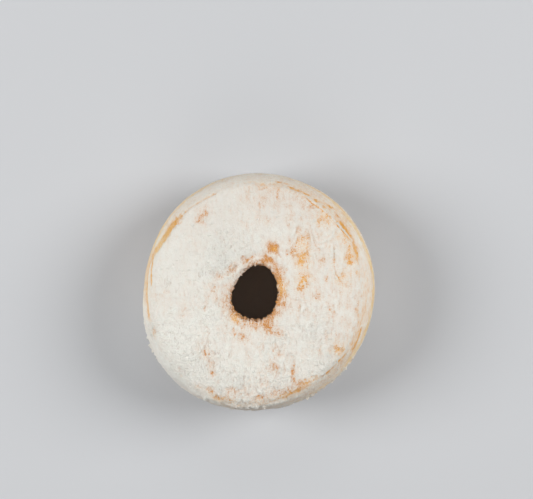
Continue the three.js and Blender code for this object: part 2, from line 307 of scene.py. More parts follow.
along = np.roll(base, -1, 0) - np.roll(base, 1, 0)
across = np.roll(base, -1, 1) - np.roll(base, 1, 1)
normal = np.cross(across, along)
normal /= np.linalg.norm(normal, axis=-1, keepdims=True)

P = base.reshape(-1, 3)
N = normal.reshape(-1, 3)
S = np.broadcast_to(place[:, None], shape).reshape(-1)
A = np.broadcast_to(turn[None, :], shape).reshape(-1)
Z = P[:, 2]
MAP = np.stack([np.maximum(S, 1.0) * np.cos(A), np.maximum(S, 1.0) * np.sin(A)], 1)


# ---------------------------------------------------------------- the sugar's thickness
def blob(x, y, radius):
    d2 = ((MAP[:, 0] - x) ** 2 + (MAP[:, 1] - y) ** 2) / radius**2
    return np.exp(-1.4 * d2)


def to_line(points):
    """Distance of each point to a line of points, and how far along the line its nearest place is, 0 to 1."""
    best = np.full(len(MAP), 1e9)
    share = np.zeros(len(MAP))
    p = np.array(points, float)
    lengths = np.linalg.norm(np.diff(p, axis=0), axis=1)
    before = np.concatenate([[0], np.cumsum(lengths)])
    for k in range(len(p) - 1):
        d = p[k + 1] - p[k]
        t = np.clip(((MAP - p[k]) @ d) / (d @ d), 0, 1)
        gap = np.linalg.norm(MAP - p[k] - t[:, None] * d, axis=1)
        closer = gap < best
        best = np.where(closer, gap, best)
        share = np.where(closer, (before[k] + t * lengths[k]) / before[-1], share)
    return best, share


def side_of(points, gap):
    """The distance to a line, positive on its right and lower side."""
    p = np.array(points, float)
    d = p[-1] - p[0]
    n = np.array([d[1], -d[0]]) / np.linalg.norm(d)
    n = n if n @ [1.0, -0.6] > 0 else -n
    nearest = np.full(len(MAP), 1e9)
    sign = np.ones(len(MAP))
    for k in range(len(p) - 1):
        e = p[k + 1] - p[k]
        t = np.clip(((MAP - p[k]) @ e) / (e @ e), 0, 1)
        off = MAP - p[k] - t[:, None] * e
        far = np.linalg.norm(off, axis=1)
        side = np.array([e[1], -e[0]])
        side = side if side @ n > 0 else -side
        closer = far < nearest
        nearest = np.where(closer, far, nearest)
        sign = np.where(closer, np.where(off @ side >= 0, 1.0, -1.0), sign)
    return gap * sign


n_broad, n_mid, n_fine, n_streak, n_edge, n_clump, n_crust = (Noise(k) for k in (11, 12, 13, 14, 15, 16, 17))
upper = smooth(S, 5.5, 8) * (1 - smooth(S, 60, 66))  # where the flat layout holds
DEG = np.degrees(A)


def around(table):
    """A value that changes smoothly round the ring, from a list of (angle, value)."""
    a, v = np.array(table, float).T
    a = np.concatenate([a - 360, a, a + 360])
    return np.interp(DEG, a, np.tile(v, 3))


broad = n_broad.layers(P / 12.0, 2)
middle = n_mid.layers(P / [3.4, 5.0, 4.0], 3)
fine = n_fine.layers(P / [1.2, 1.9, 1.5], 2)
streak = n_streak.layers(P * [0.85, 0.13, 0.3], 3)
ragged = n_edge.layers(P / 0.85, 2)
fleck = 0.12 + 1.75 * smooth(n_edge.layers(P / 0.95 + 11, 2, 0.7), -0.20, 0.36)

bare = np.zeros(len(P))
halo = np.zeros(len(P))
firm = np.zeros(len(P))  # 1 where bare crust has a clean edge and no grains on it
for x, y, radius, amount in [(5.8, 14.5, 2.1, 0.95), (4.2, 10.7, 1.8, 0.6), (-0.8, 11.8, 0.8, 0.9), (-2.6, 11.5, 0.8, 0.6), (36.8, 15.0, 1.7, 0.8), (34.0, 11.5, 1.3, 0.5), (10.2, 1.0, 2.2, 0.5)]:
    firm = np.maximum(firm, amount * np.exp(-((MAP - [x, y]) ** 2).sum(1) / radius**2))
wob = np.stack([n_edge.layers(P / 1.6 + 40, 2), n_edge.layers(P / 1.6 + 80, 2)], 1)
bent = MAP + 1.2 * wob
for x, y, w, h, deg, amount in PATCHES:
    c, s = math.cos(math.radians(deg)), math.sin(math.radians(deg))
    dx, dy = bent[:, 0] - x, bent[:, 1] - y
    u, v = (dx * c + dy * s) / w, (dy * c - dx * s) / h
    d = np.sqrt(u * u + v * v)
    bare = 1 - (1 - bare) * (1 - amount * (1 - smooth(d, 0.30, 1.60)))
    halo = 1 - (1 - halo) * (1 - 0.16 * amount * (1 - smooth(d, 0.8, 3.0)))
for points, half, amount in STREAKS:
    gap, share = to_line(points)
    gap = gap + 0.4 * wob[:, 0]
    ends = smooth(share, -0.02, 0.08) * (1 - smooth(share, 0.92, 1.02)) * 0.35 + 0.65
    bare = 1 - (1 - bare) * (1 - amount * ends * (1 - smooth(gap, 0.5 * half, 1.6 * half)))
    firm = np.maximum(firm, 0.9 * (1 - smooth(gap, half, 2.5 * half)) * smooth(S, 37, 39))
bare *= upper
halo *= upper

rough = np.zeros(len(P))
for x, y, radius, amount in ROUGH:
    rough = np.maximum(rough, amount * blob(x, y, radius))
rough = np.clip(0.15 + rough, 0, 1) * upper + (1 - upper) * 0.5
zone = sum(amount * blob(x, y, radius) for x, y, radius, amount in ZONES) * upper

# The layer along the surface, from the resting ring's inner edge up through the hole,
# over the face and down the flank to the resting ring again
layer = np.interp(
    S,
    [-22, -14, -6, 0, 4, 6, 8, 10, 11.5, 13, 14.5, 17, 36.5, 38.4, 40, 42, 47, 51, 54, 58, 63, 69, 74, 90],
    [0.50, 0.14, 0.04, 0.02, 0.02, 0.06, 0.18, 0.32, 0.46, 0.64, 0.75, 0.78, 0.78, 0.68, 0.62, 0.6, 0.58, 0.5, 0.46, 0.54, 0.70, 0.68, 0.6, 0.7],
)
on_side = smooth(S, 38, 41) * (1 - smooth(S, 55, 64))
on_mouth = (1 - smooth(S, 10.5, 13.5)) * smooth(S, 4, 6)
low = smooth(S, 44, 49)
round_side = around(SIDE) * (1 - low) + around(SIDE_LOW) * low
lip = around(LIP) * np.exp(-(((S - 41.6) / 2.6) ** 2))
thick = layer + on_side * (round_side - 0.58) + on_mouth * around(MOUTH) + zone + 0.34 * lip
haze = 0.14 * broad + 0.30 * middle + 0.26 * fine + 0.26 * streak
thick += haze * (0.35 + 0.65 * upper) * (1 - 0.6 * on_side)
wrinkle = np.sin(S * 5.2 + 2.6 * n_streak.layers(np.stack([A * 4, S * 0.2, 0 * S], 1) + 3, 2))
thick += on_side * (0.20 * n_streak.layers(np.stack([A * 7, S * 1.3, 0 * S], 1), 3) + 0.04 * wrinkle)
low_side = smooth(S, 54, 60)
patchy = n_broad.layers(P / [6.0, 6.0, 4.0] + 30, 4, 0.6)
thick -= low_side * (0.46 * smooth(patchy, -0.35, 0.50) + 0.14 * smooth(n_mid.layers(P / 1.6 + 90, 3), -0.1, 0.5))

# The pale line round the widest part, where the dough stayed clear of the oil
off_line = S - around(PALE_PLACE) - 0.8 * n_broad.smooth(P / 7 + 5)
pale = np.exp(-((off_line / np.where(off_line < 0, 2.7, 1.5)) ** 2))
pale *= 1 - 0.7 * smooth(off_line, -0.2, 1.0) * smooth(n_broad.layers(P / [3.0, 3.0, 1.4] + 75, 3), -0.25, 0.3)
pale *= 0.62 + 0.38 * smooth(n_crust.layers(P / [3.2, 3.2, 1.5] + 88, 3), -0.30, 0.15)
pale *= np.clip(around(PALE) + 0.3 * n_mid.layers(P / 2.5 + 60, 2), 0, 1)
thick -= 0.42 * pale * (0.55 + 0.45 * smooth(n_fine.layers(P / [2.6, 2.6, 1.6] + 33, 3), -0.35, 0.1))

lines = np.exp(-((off_line / 0.6) ** 2)) + 0.6 * np.exp(-(((off_line + 2.6) / 0.5) ** 2))
thick -= 0.34 * lines * np.clip(around(PALE), 0, 1) * (0.6 + 0.6 * n_mid.layers(P / 2.5 + 60, 2))

# Sugar is thicker along a fold, and thin in a line on its outer side, where the crust shows
for points, wide, tall in FOLDS:
    gap, share = to_line(points)
    gap = side_of(points, gap) + 0.1 * wob[:, 1]
    ends = smooth(share, 0.0, 0.15) * (1 - smooth(share, 0.85, 1.0)) * upper
    bare *= 1 - 0.8 * ends * np.exp(-((gap / (1.3 * wide)) ** 2))
    bare = np.maximum(bare, 1.9 * tall * ends * np.exp(-(((gap - wide - 0.3) / 0.27) ** 2)) * (1 + 0.7 * ragged))
    thick += 0.4 * ends * np.exp(-((gap / (1.5 * wide)) ** 2))

swell = np.zeros(len(P))
crease = np.zeros(len(P))  # and a thin groove runs along its outer side, with thinner sugar and painted shade in it
for points, wide, tall in SWELLS:
    gap, share = to_line(points)
    ends = np.sin(math.pi * np.clip(share, 0, 1)) ** 0.7 * upper
    swell = np.maximum(swell, tall * ends * np.exp(-(((gap + 0.25 * wob[:, 0]) / wide) ** 2)))
    beside = side_of(points, gap) + 0.25 * wob[:, 0] - wide - 0.15
    crease = np.maximum(crease, np.clip(4.0 * tall, 0, 1) * ends * np.exp(-((beside / 0.30) ** 2)))
crease *= np.clip(0.75 + 0.9 * ragged, 0, 1.3)
thick += 1.2 * swell - 0.24 * crease

# The sugar is lumpy, and thinner in its hollows, which are also painted darker as shade. Short upright gouges lie above
# and left of the hole.
lumpy = n_clump.layers(P / [1.5, 2.2, 1.8] + 9, 3)
comb = 1.05 * blob(-11, 14, 7.5) + 0.9 * blob(-20, 6, 6.0) + 0.7 * blob(-31, 3, 5.0) + 0.9 * blob(-15, -21, 8.0) + 0.9 * blob(2, -33, 9.0) + 0.7 * blob(20, -10, 8.0) + 0.8 * blob(-28, -14, 7.0) + 0.7 * blob(10, -20, 6.0)
comb = np.clip(comb, 0, 1) * upper
hollow_and_shade = np.clip(smooth(-lumpy, 0.08, 0.62) * (0.25 + 0.65 * rough) + 0.6 * crease, 0, 1)
thick -= 0.16 * hollow_and_shade

# How much of the crust shows through, with the patches, and back to a thickness
shows = np.exp(-4 * np.clip(thick, 0.02, 1.1))
mottle = (1 - firm) * (1 - 0.75 * bare**3) * (fleck - 1)
shows = 1 - (1 - shows) * (1 - np.clip((0.62 * bare + 0.34 * bare**4) * (1 + mottle) * (1 + 0.3 * firm), 0, 0.97)) * (1 - halo)
thick = -np.log(shows) / 4
loose = (0.04 + 0.09 * (1 - smooth(thick, 0.25, 0.85))) * (1 - 0.7 * np.maximum(firm, on_side * (1 - 0.8 * pale)))

# ---------------------------------------------------------------- the relief
relief = 0.20 * broad
relief += 0.32 * smooth(thick, 0.02, 0.75) - 0.28
relief += 0.03 * streak * upper * smooth(thick, 0.3, 0.7)
grain = n_fine.layers(P / 0.9 + 5, 2)
near, second, own = n_clump.cells(P / 1.5)
clump = np.clip(1 - near / 0.55, 0, 1) ** 1.3 * smooth(own, 0.25, 1.0)
near2, _, own2 = n_clump.cells(P / 0.8 + 50)
clump2 = np.clip(1 - near2 / 0.6, 0, 1) * smooth(own2, 0.2, 1.0)
sugar_here = smooth(thick, 0.35, 0.75)
relief += upper * (0.05 + 0.13 * rough) * lumpy * smooth(thick, 0.1, 0.6)
relief += rough * sugar_here * (0.14 * grain + 0.18 * clump + 0.08 * clump2)
relief += 0.03 * middle + 1.5 * swell * (1 + 0.9 * n_mid.layers(P / 0.9 + 70, 2)) - 0.12 * crease
# where the outline is torn, the sugar ends in broken plates
torn_at = 52.4 + 1.6 * n_broad.smooth(P / 6.0 + 15)
torn = around(TORN) * np.exp(-(((S - torn_at) / 2.8) ** 2)) * smooth(n_mid.layers(P / 3.4 + 44, 2), -0.45, 0.15)
plates = n_clump.layers(P / [1.9, 1.9, 1.3] + 21, 2, 0.7)
relief += torn * (2.1 * np.clip(plates + 0.04, 0, 1) - 0.22)
relief += 0.05 * on_side * wrinkle * (0.5 + 0.5 * n_mid.smooth(np.stack([A * 6, S * 0.3, 0 * S], 1)))
relief += lip * (0.75 + 0.9 * n_crust.layers(P / [1.8, 1.8, 1.8] + 12, 3))
# the hole's edge is ragged and its wall crumbly
wall = 0.9 * np.exp(-(((S - 3.0) / 2.6) ** 2)) + 0.5 * (1 - smooth(S, 0, 4)) * smooth(S, -20, -10)
relief += wall * 0.5 * n_edge.layers(P / [1.2, 1.2, 1.6] + 7, 2)
ledge = smooth(S, 3.0, 4.8) * (1 - smooth(S, 8.6, 10.2))
relief += ledge * (0.70 * n_crust.layers(P / [1.5, 1.5, 4.5] + 27, 3) + 0.80 * n_edge.layers(P / [0.68, 0.68, 2.6] + 47, 2) + 0.24)
relief -= 0.6 * (1 - smooth(S, 2.6, 4.6)) * smooth(S, -16, -8)
# the underside keeps the marks of the rack
under = smooth(S, 60, 70)
relief += under * 0.06 * (np.cos(P[:, 0] * 1.25) + np.cos(P[:, 1] * 1.25)) * smooth(-N[:, 2], 0.3, 0.8)
relief *= smooth(Z, 0.0, 1.2)  # flat where it rests

final = P + N * relief[:, None]
final[:, 2] = np.maximum(final[:, 2], 0.0)
final[Z < 1e-6, 2] = 0.0


# ---------------------------------------------------------------- meshes
def new_piece(name, points, faces, attributes, material, rounded=True):
    mesh = bpy.data.meshes.new(name)
    mesh.from_pydata((points * MM).tolist(), [], faces)
    for key, values in attributes.items():
        mesh.attributes.new(key, "FLOAT", "POINT").data.foreach_set("value", np.asarray(values, np.float32))
    mesh.materials.append(material)
    mesh.polygons.foreach_set("use_smooth", np.full(len(mesh.polygons), rounded))
    mesh.validate()
    mesh.update()
    piece = bpy.data.objects.new(name, mesh)
    bpy.context.scene.collection.objects.link(piece)
    return piece


def ring_faces():
    i, j = np.meshgrid(np.arange(rings), np.arange(ROUND), indexing="ij")
    a = i * ROUND + j
    b = i * ROUND + (j + 1) % ROUND
    c = ((i + 1) % rings) * ROUND + (j + 1) % ROUND
    d = ((i + 1) % rings) * ROUND + j
    return np.stack([a, b, c, d], -1).reshape(-1, 4)


# ---------------------------------------------------------------- materials
class Nodes:
    """Short names for building a material's nodes."""

    def __init__(self, name):
        self.material = bpy.data.materials.new(name)
        self.material.use_nodes = True
        self.tree = self.material.node_tree
        self.shader = self.tree.nodes["Principled BSDF"]

    def node(self, kind, **settings):
        n = self.tree.nodes.new(kind)
        for key, value in settings.items():
            setattr(n, key, value)
        return n

    def put(self, socket, value):
        if isinstance(value, bpy.types.NodeSocket):
            self.tree.links.new(value, socket)
        else:
            socket.default_value = value

    def attribute(self, name):
        return self.node("ShaderNodeAttribute", attribute_name=name).outputs["Fac"]

    def math(self, operation, a, b=0.0, clamp=False):
        n = self.node("ShaderNodeMath", operation=operation, use_clamp=clamp)
        self.put(n.inputs[0], a)
        self.put(n.inputs[1], b)
        return n.outputs[0]

    def add(self, a, b):
        return self.math("ADD", a, b)

    def sub(self, a, b):
        return self.math("SUBTRACT", a, b)

    def mul(self, a, b):
        return self.math("MULTIPLY", a, b)

    def ramp(self, value, low, high, to_low=0.0, to_high=1.0):
        n = self.node("ShaderNodeMapRange", interpolation_type="SMOOTHSTEP")
        self.put(n.inputs["Value"], value)
        for key, v in (("From Min", low), ("From Max", high), ("To Min", to_low), ("To Max", to_high)):
            self.put(n.inputs[key], v)
        return n.outputs["Result"]

    def noise(self, scale, detail=2.0, roughness=0.5, stretch=(1, 1, 1)):
        """Noise with `scale` waves per mm."""
        place = self.node("ShaderNodeTexCoord").outputs["Object"]
        m = self.node("ShaderNodeMapping")
        self.put(m.inputs["Vector"], place)
        m.inputs["Scale"].default_value = [scale / MM * s for s in stretch]
        n = self.node("ShaderNodeTexNoise")
        self.put(n.inputs["Vector"], m.outputs["Vector"])
        n.inputs["Scale"].default_value = 1.0
        n.inputs["Detail"].default_value = detail
        n.inputs["Roughness"].default_value = roughness
        return n.outputs["Fac"]

    def mix(self, amount, a, b):
        n = self.node("ShaderNodeMix", data_type="RGBA")
        self.put(n.inputs["Factor"], amount)
        self.put(n.inputs["A"], a if isinstance(a, bpy.types.NodeSocket) else (*a, 1.0))
        self.put(n.inputs["B"], b if isinstance(b, bpy.types.NodeSocket) else (*b, 1.0))
        return n.outputs["Result"]

    def bump(self, height, distance, strength=1.0, under=None):
        n = self.node("ShaderNodeBump")
        n.inputs["Strength"].default_value = strength
        n.inputs["Distance"].default_value = distance
        self.put(n.inputs["Height"], height)
        if under is not None:
            self.put(n.inputs["Normal"], under)
        return n.outputs["Normal"]


SUGAR_WHITE = (0.819, 0.820, 0.769)
SUGAR_SHADE = (0.800, 0.768, 0.708)
# Whiter loose sugar, also used as painted light towards the face's edge
SUGAR_LOOSE_AND_PAINTED_LIGHT = (0.884, 0.876, 0.820)
# Painted shade: a duller white towards the face's edge and on the lower flank
SUGAR_PAINTED_SHADE = (0.760, 0.738, 0.685)
# Painted shade in the low points of the sugar's fine relief
SUGAR_PIT_SHADE = (0.668, 0.645, 0.592)
# Painted shade in the hollows of the lumpy sugar and in the grooves beside the swells
SUGAR_HOLLOW_SHADE = (0.640, 0.580, 0.520)
# Painted shade in the short gouges
SUGAR_GOUGE_SHADE = (0.600, 0.520, 0.455)
CRUST_GOLD = (0.78, 0.380, 0.058)
CRUST_RUST = (0.60, 0.250, 0.048)
CRUST_PALE = (0.86, 0.685, 0.325)
# Painted shade down in the hole
CRUST_HOLE_SHADE = (0.17, 0.068, 0.023)


def dusted_crust():
    m = Nodes("sugared_crust")
    thick, loose, pale, hole_shade = (m.attribute(key) for key in ("sugar", "loose", "pale", "hole_shade"))
    golden, hollow_and_shade, coarse = (m.attribute(key) for key in ("golden", "hollow_and_shade", "coarse"))
    bright, painted_shade, comb = (m.attribute(key) for key in ("bright", "painted_shade", "comb"))
    grain = m.noise(2.3, 3.0, 0.65)
    plaster = m.noise(0.85, 4.0, 0.62, (1.0, 0.62, 1.0))
    brush = m.noise(1.4, 2.0, 0.55, (1.0, 0.26, 1.0))
    specks = m.add(m.ramp(grain, 0.32, 0.68, -1.0, 1.1), m.ramp(m.noise(4.2, 2.0, 0.5), 0.34, 0.66, -0.7, 0.7))
    lines = m.add(m.ramp(brush, 0.35, 0.65, -0.07, 0.07), m.ramp(plaster, 0.32, 0.68, -0.09, 0.09))
    lines = m.mul(lines, m.ramp(thick, 0.0, 0.22, 0.4, 1.0))
    level = m.math("MAXIMUM", m.add(m.add(thick, m.mul(specks, loose)), lines), 0.0)
    bare = m.math("POWER", 0.018, level)
    tone = m.math("MULTIPLY", golden, m.ramp(m.noise(0.45, 3.0, 0.6), 0.38, 0.72, 1.0, 0.45), clamp=True)
    crust = m.mix(tone, CRUST_RUST, CRUST_GOLD)
    crust = m.mix(m.math("MULTIPLY", pale, 0.95, clamp=True), crust, CRUST_PALE)
    # Painted shade down in the hole and just inside its mouth
    crust = m.mix(m.math("MULTIPLY", hole_shade, 0.92, clamp=True), crust, CRUST_HOLE_SHADE)
    shade = m.ramp(m.noise(0.22, 4.0, 0.6), 0.34, 0.66)
    sugar = m.mix(shade, SUGAR_WHITE, SUGAR_SHADE)
    # Whiter loose sugar, and painted light where the face brightens towards its edge
    sugar = m.mix(bright, sugar, SUGAR_LOOSE_AND_PAINTED_LIGHT)
    # Painted shade towards the face's edge and on the lower flank
    sugar = m.mix(painted_shade, sugar, SUGAR_PAINTED_SHADE)
    # Painted shade in the low points of the fine grain and of the broader plaster relief, more where the sugar is rough
    pit_shade = m.mul(m.ramp(grain, 0.31, 0.45, 1.0, 0.0), m.add(0.40, m.mul(coarse, 0.24)))
    sugar = m.mix(pit_shade, sugar, SUGAR_PIT_SHADE)
    dip_shade = m.mul(m.ramp(plaster, 0.31, 0.43, 1.0, 0.0), m.add(0.16, m.mul(coarse, 0.30)))
    sugar = m.mix(dip_shade, sugar, SUGAR_PIT_SHADE)
    # Painted shade in the hollows
    sugar = m.mix(m.math("MULTIPLY", hollow_and_shade, 0.66, clamp=True), sugar, SUGAR_HOLLOW_SHADE)
    # The short gouges are cut into the bump and painted darker as shade
    gouges_with_shade = m.mul(m.ramp(m.noise(1.15, 2.0, 0.5, (1.0, 0.40, 0.8)), 0.575, 0.64), comb)
    sugar = m.mix(m.math("MULTIPLY", gouges_with_shade, 0.68, clamp=True), sugar, SUGAR_GOUGE_SHADE)
    m.put(m.shader.inputs["Base Color"], m.mix(bare, sugar, crust))
    m.put(m.shader.inputs["Roughness"], m.ramp(bare, 0.1, 0.9, 0.93, 0.45))
    m.shader.inputs["Specular IOR Level"].default_value = 0.3
    rise = m.add(0.60, m.mul(coarse, 0.56))
    nubs = m.ramp(m.noise(1.5, 0.0, 0.5, (1.0, 0.7, 1.0)), 0.36, 0.64)
    powder = m.bump(m.add(m.mul(grain, rise), m.mul(nubs, m.add(0.10, m.mul(coarse, 0.24)))), 0.00048, 0.85)
    swept = m.sub(m.mul(m.add(plaster, m.mul(brush, 0.4)), rise), m.mul(gouges_with_shade, 0.45))
    m.put(m.shader.inputs["Normal"], m.bump(swept, 0.00050, 0.85, powder))
    return m.material


# Painted shade and painted light towards the face's edge, and painted shade on the lower flank
tone = around(PAINTED_SHADE_AND_LIGHT) * smooth(S, 14, 34) * (1 - smooth(S, 38, 42))
painted_shade = np.clip(tone + around(FLANK_PAINTED_SHADE) * smooth(S, 40, 44) * (1 - smooth(S, 58, 66)), 0, 1)
# Loose sugar is whiter here; the minus side of the edge table adds painted light
bright = np.clip(0.72 * rough * (1 - 0.8 * smooth(S, 39, 43)) + 0.9 * np.clip(-tone, 0, 1) + 4.0 * swell + 0.35 * comb + 0.5 * blob(-15, -10, 6), 0, 1)
# Painted shade down in the hole and just inside its mouth
hole_shade = (1 - smooth(S, -3, 6.0)) * (1 - 0.35 * smooth(-S, 12, 22)) + 0.15 * on_mouth * np.exp(-(((S - 6.5) / 1.5) ** 2))
pale_at = np.clip(pale + 0.40 * blob(-36.0, 19.0, 8.0) + 0.25 * blob(-42.0, 3.0, 9.0), 0, 1)
golden = np.clip(sum(blob(x, y, radius) for x, y, radius in GOLDEN) + smooth(S, 36, 39.5) + 0.6 * (1 - smooth(S, 5, 9)), 0, 1)
doughnut = new_piece(
    "sugared_doughnut",
    final,
    ring_faces().tolist(),
    {"sugar": thick, "loose": loose, "pale": pale_at, "hole_shade": hole_shade, "golden": golden, "hollow_and_shade": hollow_and_shade, "coarse": rough, "bright": bright, "painted_shade": painted_shade, "comb": comb},
    dusted_crust(),
)


def lay_out(piece):
    """A map for the piece's colours: the face with the upper flank as one disc, the underside with the lower flank as another, and the hole's wall as a strip."""
    side = 188.0
    widest = int(np.argmin(abs(profile[:, 0] - OUTER_R)))
    mouth = int(np.argmin(abs(place - MOUTH_R)))
    i, j = np.meshgrid(np.arange(rings), np.arange(ROUND), indexing="ij")
    ring = np.stack([i, i, i + 1, i + 1], -1).reshape(-1, 4)
    turn_at = np.stack([j, j + 1, j + 1, j], -1).reshape(-1, 4) * 2 * math.pi / ROUND
    run = np.append(place, place[-1] - np.linalg.norm(profile[-1] - profile[0]))
    at = run[ring]
    first = ring.min(1)[:, None]
    below = (first < widest) & (ring >= 0)
    hole = (first >= mouth) & (ring >= 0)
    down = run[0] - at + BASE_IN_R
    u = np.where(below, 133.0 + down * np.cos(turn_at), 55.6 + at * np.cos(turn_at))
    v = np.where(below, 53.9 - down * np.sin(turn_at), 132.2 + at * np.sin(turn_at))
    u = np.where(hole, 113.0 + turn_at / (2 * math.pi) * 74.0, u)
    v = np.where(hole, 186.5 - (MOUTH_R - at), v)
    flat = np.stack([u, v], -1).reshape(-1, 2) / side
    layer_map = piece.data.uv_layers.new(name="OFBake")
    layer_map.data.foreach_set("uv", flat.astype(np.float32).ravel())


lay_out(doughnut)

# ---------------------------------------------------------------- loose sugar
# Shards that stand out from the outline: angle, place along the surface, length, width
SHARDS = [
    (206.9, 52.0, 1.75, 0.90), (207.4, 51.6, 1.15, 1.45), (207.6, 53.4, 1.2, 0.90), (209.6, 49.5, 1.2, 0.80), (211.6, 51.0, 0.9, 0.60),
    (213.4, 50.0, 0.9, 0.55), (286.0, 51.5, 0.6, 0.60), (290.6, 51.5, 0.8, 0.80), (292.2, 52.0, 0.7, 0.50),
    (295.5, 51.0, 0.75, 0.60), (304.0, 51.5, 0.7, 0.50), (309.6, 51.5, 1.3, 0.65), (311.0, 51.0, 0.7, 0.70), (315.3, 51.0, 1.2, 0.65),
    (316.4, 50.5, 0.7, 0.60), (318.4, 51.0, 0.8, 0.50), (319.8, 50.5, 1.3, 0.70), (322.4, 50.5, 0.6, 0.50), (326.0, 50.5, 0.6, 0.40),
]

side_way = across.reshape(-1, 3) / np.linalg.norm(across.reshape(-1, 3), axis=1, keepdims=True)
up_way = np.cross(N, side_way)


def lump(detail):
    bpy.ops.mesh.primitive_ico_sphere_add(subdivisions=detail, radius=1.0)
    o = bpy.context.object
    v = np.array([x.co for x in o.data.vertices])
    f = np.array([p.vertices for p in o.data.polygons])
    bpy.data.objects.remove(o, do_unlink=True)
    return v, f


def grid_place(s, a):
    return int(np.argmin(abs(place - s))) * ROUND + int(round(a / 360 * ROUND)) % ROUND


def loose_pieces():
    """Lumps and flakes that lie sunk in the sugar, and shards that stand out where its edge is torn."""
    rng = np.random.default_rng(77)
    spots = []  # place, radius, stretch along the surface's two ways and outwards, lift, detail, greatest tilt
    for a, s, length, width in SHARDS:
        spots.append((grid_place(s, a), 1.0, (width * 1.2, width * 0.55, 0.85 * length), -0.1 * length, 1, 0.7))
        for _ in range(3):
            r = rng.uniform(0.18, 0.40)
            k = grid_place(s + rng.normal() * 1.2, a + rng.normal() * 1.2)
            spots.append((k, r, (rng.uniform(0.9, 1.8), rng.uniform(0.5, 1.0), rng.uniform(0.6, 1.3)), -0.35 * r, 1, 1.0))
    area = np.linalg.norm(np.cross(across, along) / 4, axis=-1).reshape(-1)
    weight = area * smooth(thick, 0.4, 0.8) * smooth(Z, 0.8, 2.5) * smooth(S, 10.5, 12.5)
    clumpy = weight * (0.02 + rough**3) * (1 - 0.85 * smooth(S, 42, 46)) * smooth(S, 12.5, 15)
    for k in rng.choice(len(P), size=420, replace=False, p=clumpy / clumpy.sum()):
        r = float(np.clip(rng.lognormal(-1.0, 0.36), 0.18, 0.75 if S[k] < 44 else 0.32))
        spots.append((int(k), r, (rng.uniform(0.8, 1.3), rng.uniform(0.8, 1.3), 0.6), -0.30 * r, 2, 0.4))
    flaky = weight * (0.03 + 1.1 * rough**2 + 0.35 * comb) * np.where(S > 40, 0.3, 1.0)
    for k in rng.choice(len(P), size=2700, replace=False, p=flaky / flaky.sum()):
        r = float(np.clip(rng.lognormal(-1.25, 0.35), 0.14, 0.6))
        spots.append((int(k), r, (rng.uniform(0.6, 1.0), rng.uniform(1.0, 1.5), 0.46), -0.05 * r, 1, 0.45))
    crumbs = area * (1 - smooth(S, 2.5, 4.5)) * smooth(S, -14, -4) * smooth(n_edge.layers(P / 3.0 + 66, 2), -0.3, 0.3)
    for k in rng.choice(len(P), size=320, replace=False, p=crumbs / crumbs.sum()):
        r = float(np.clip(rng.lognormal(-1.6, 0.35), 0.10, 0.36))
        spots.append((int(k), r, rng.uniform(0.7, 1.3, 3), -0.15 * r, 1, 1.5))
    shapes = {d: lump(d) for d in (1, 2)}
    field = Noise(99)
    points, faces, owners, start = [], [], [], 0
    for k, radius, stretch, lift, detail, tilt in spots:
        v, f = shapes[detail]
        body = v @ spin(rng.normal(size=4)).T
        body = body * (1 + 0.45 * field.smooth(body * 1.4 + rng.uniform(0, 60, 3)))[:, None]
        body = body * stretch
        if radius == 1.0:  # a shard narrows to a point
            body[:, :2] *= 1.15 - 0.95 * np.clip(body[:, 2:] / stretch[2], 0, 1)
        lean = rng.uniform(-tilt, tilt, 2) / 2
        body = body @ spin((1.0, lean[0], lean[1], rng.uniform(-0.25, 0.25))).T * radius
        body = body[:, :1] * side_way[k] + body[:, 1:2] * up_way[k] + body[:, 2:] * N[k]
        points.append(body + final[k] + N[k] * lift)
        faces.append(f + start)
        owners.append(np.full(len(v), k))
        start += len(v)
    points = np.concatenate(points)
    points[:, 2] = np.maximum(points[:, 2], 0.02)
    return points, np.concatenate(faces), np.concatenate(owners)


def spin(q):
    w, x, y, z = np.array(q, float) / np.linalg.norm(q)
    return np.array(
        [
            [1 - 2 * (y * y + z * z), 2 * (x * y - z * w), 2 * (x * z + y * w)],
            [2 * (x * y + z * w), 1 - 2 * (x * x + z * z), 2 * (y * z - x * w)],
            [2 * (x * z - y * w), 2 * (y * z + x * w), 1 - 2 * (x * x + y * y)],
        ]
    )


def on_surface(x, y):
    """Points of the sugar's surface, and the ways out of it, at places of the flat layout."""
    row = np.interp(-np.hypot(x, y), -place, np.arange(rings))
    col = (np.arctan2(y, x) % (2 * math.pi)) / (2 * math.pi) * ROUND
    i, j = np.floor(row).astype(int), np.floor(col).astype(int)
    fi, fj = (row - i)[:, None], (col - j)[:, None]
    found = []
    for field in (final, N):
        grid = field.reshape(rings, ROUND, 3)
        near = grid[i, j % ROUND] * (1 - fj) + grid[i, (j + 1) % ROUND] * fj
        far = grid[i + 1, j % ROUND] * (1 - fj) + grid[i + 1, (j + 1) % ROUND] * fj
        found.append(near * (1 - fi) + far * fi)
    return found[0], found[1] / np.linalg.norm(found[1], axis=1, keepdims=True)


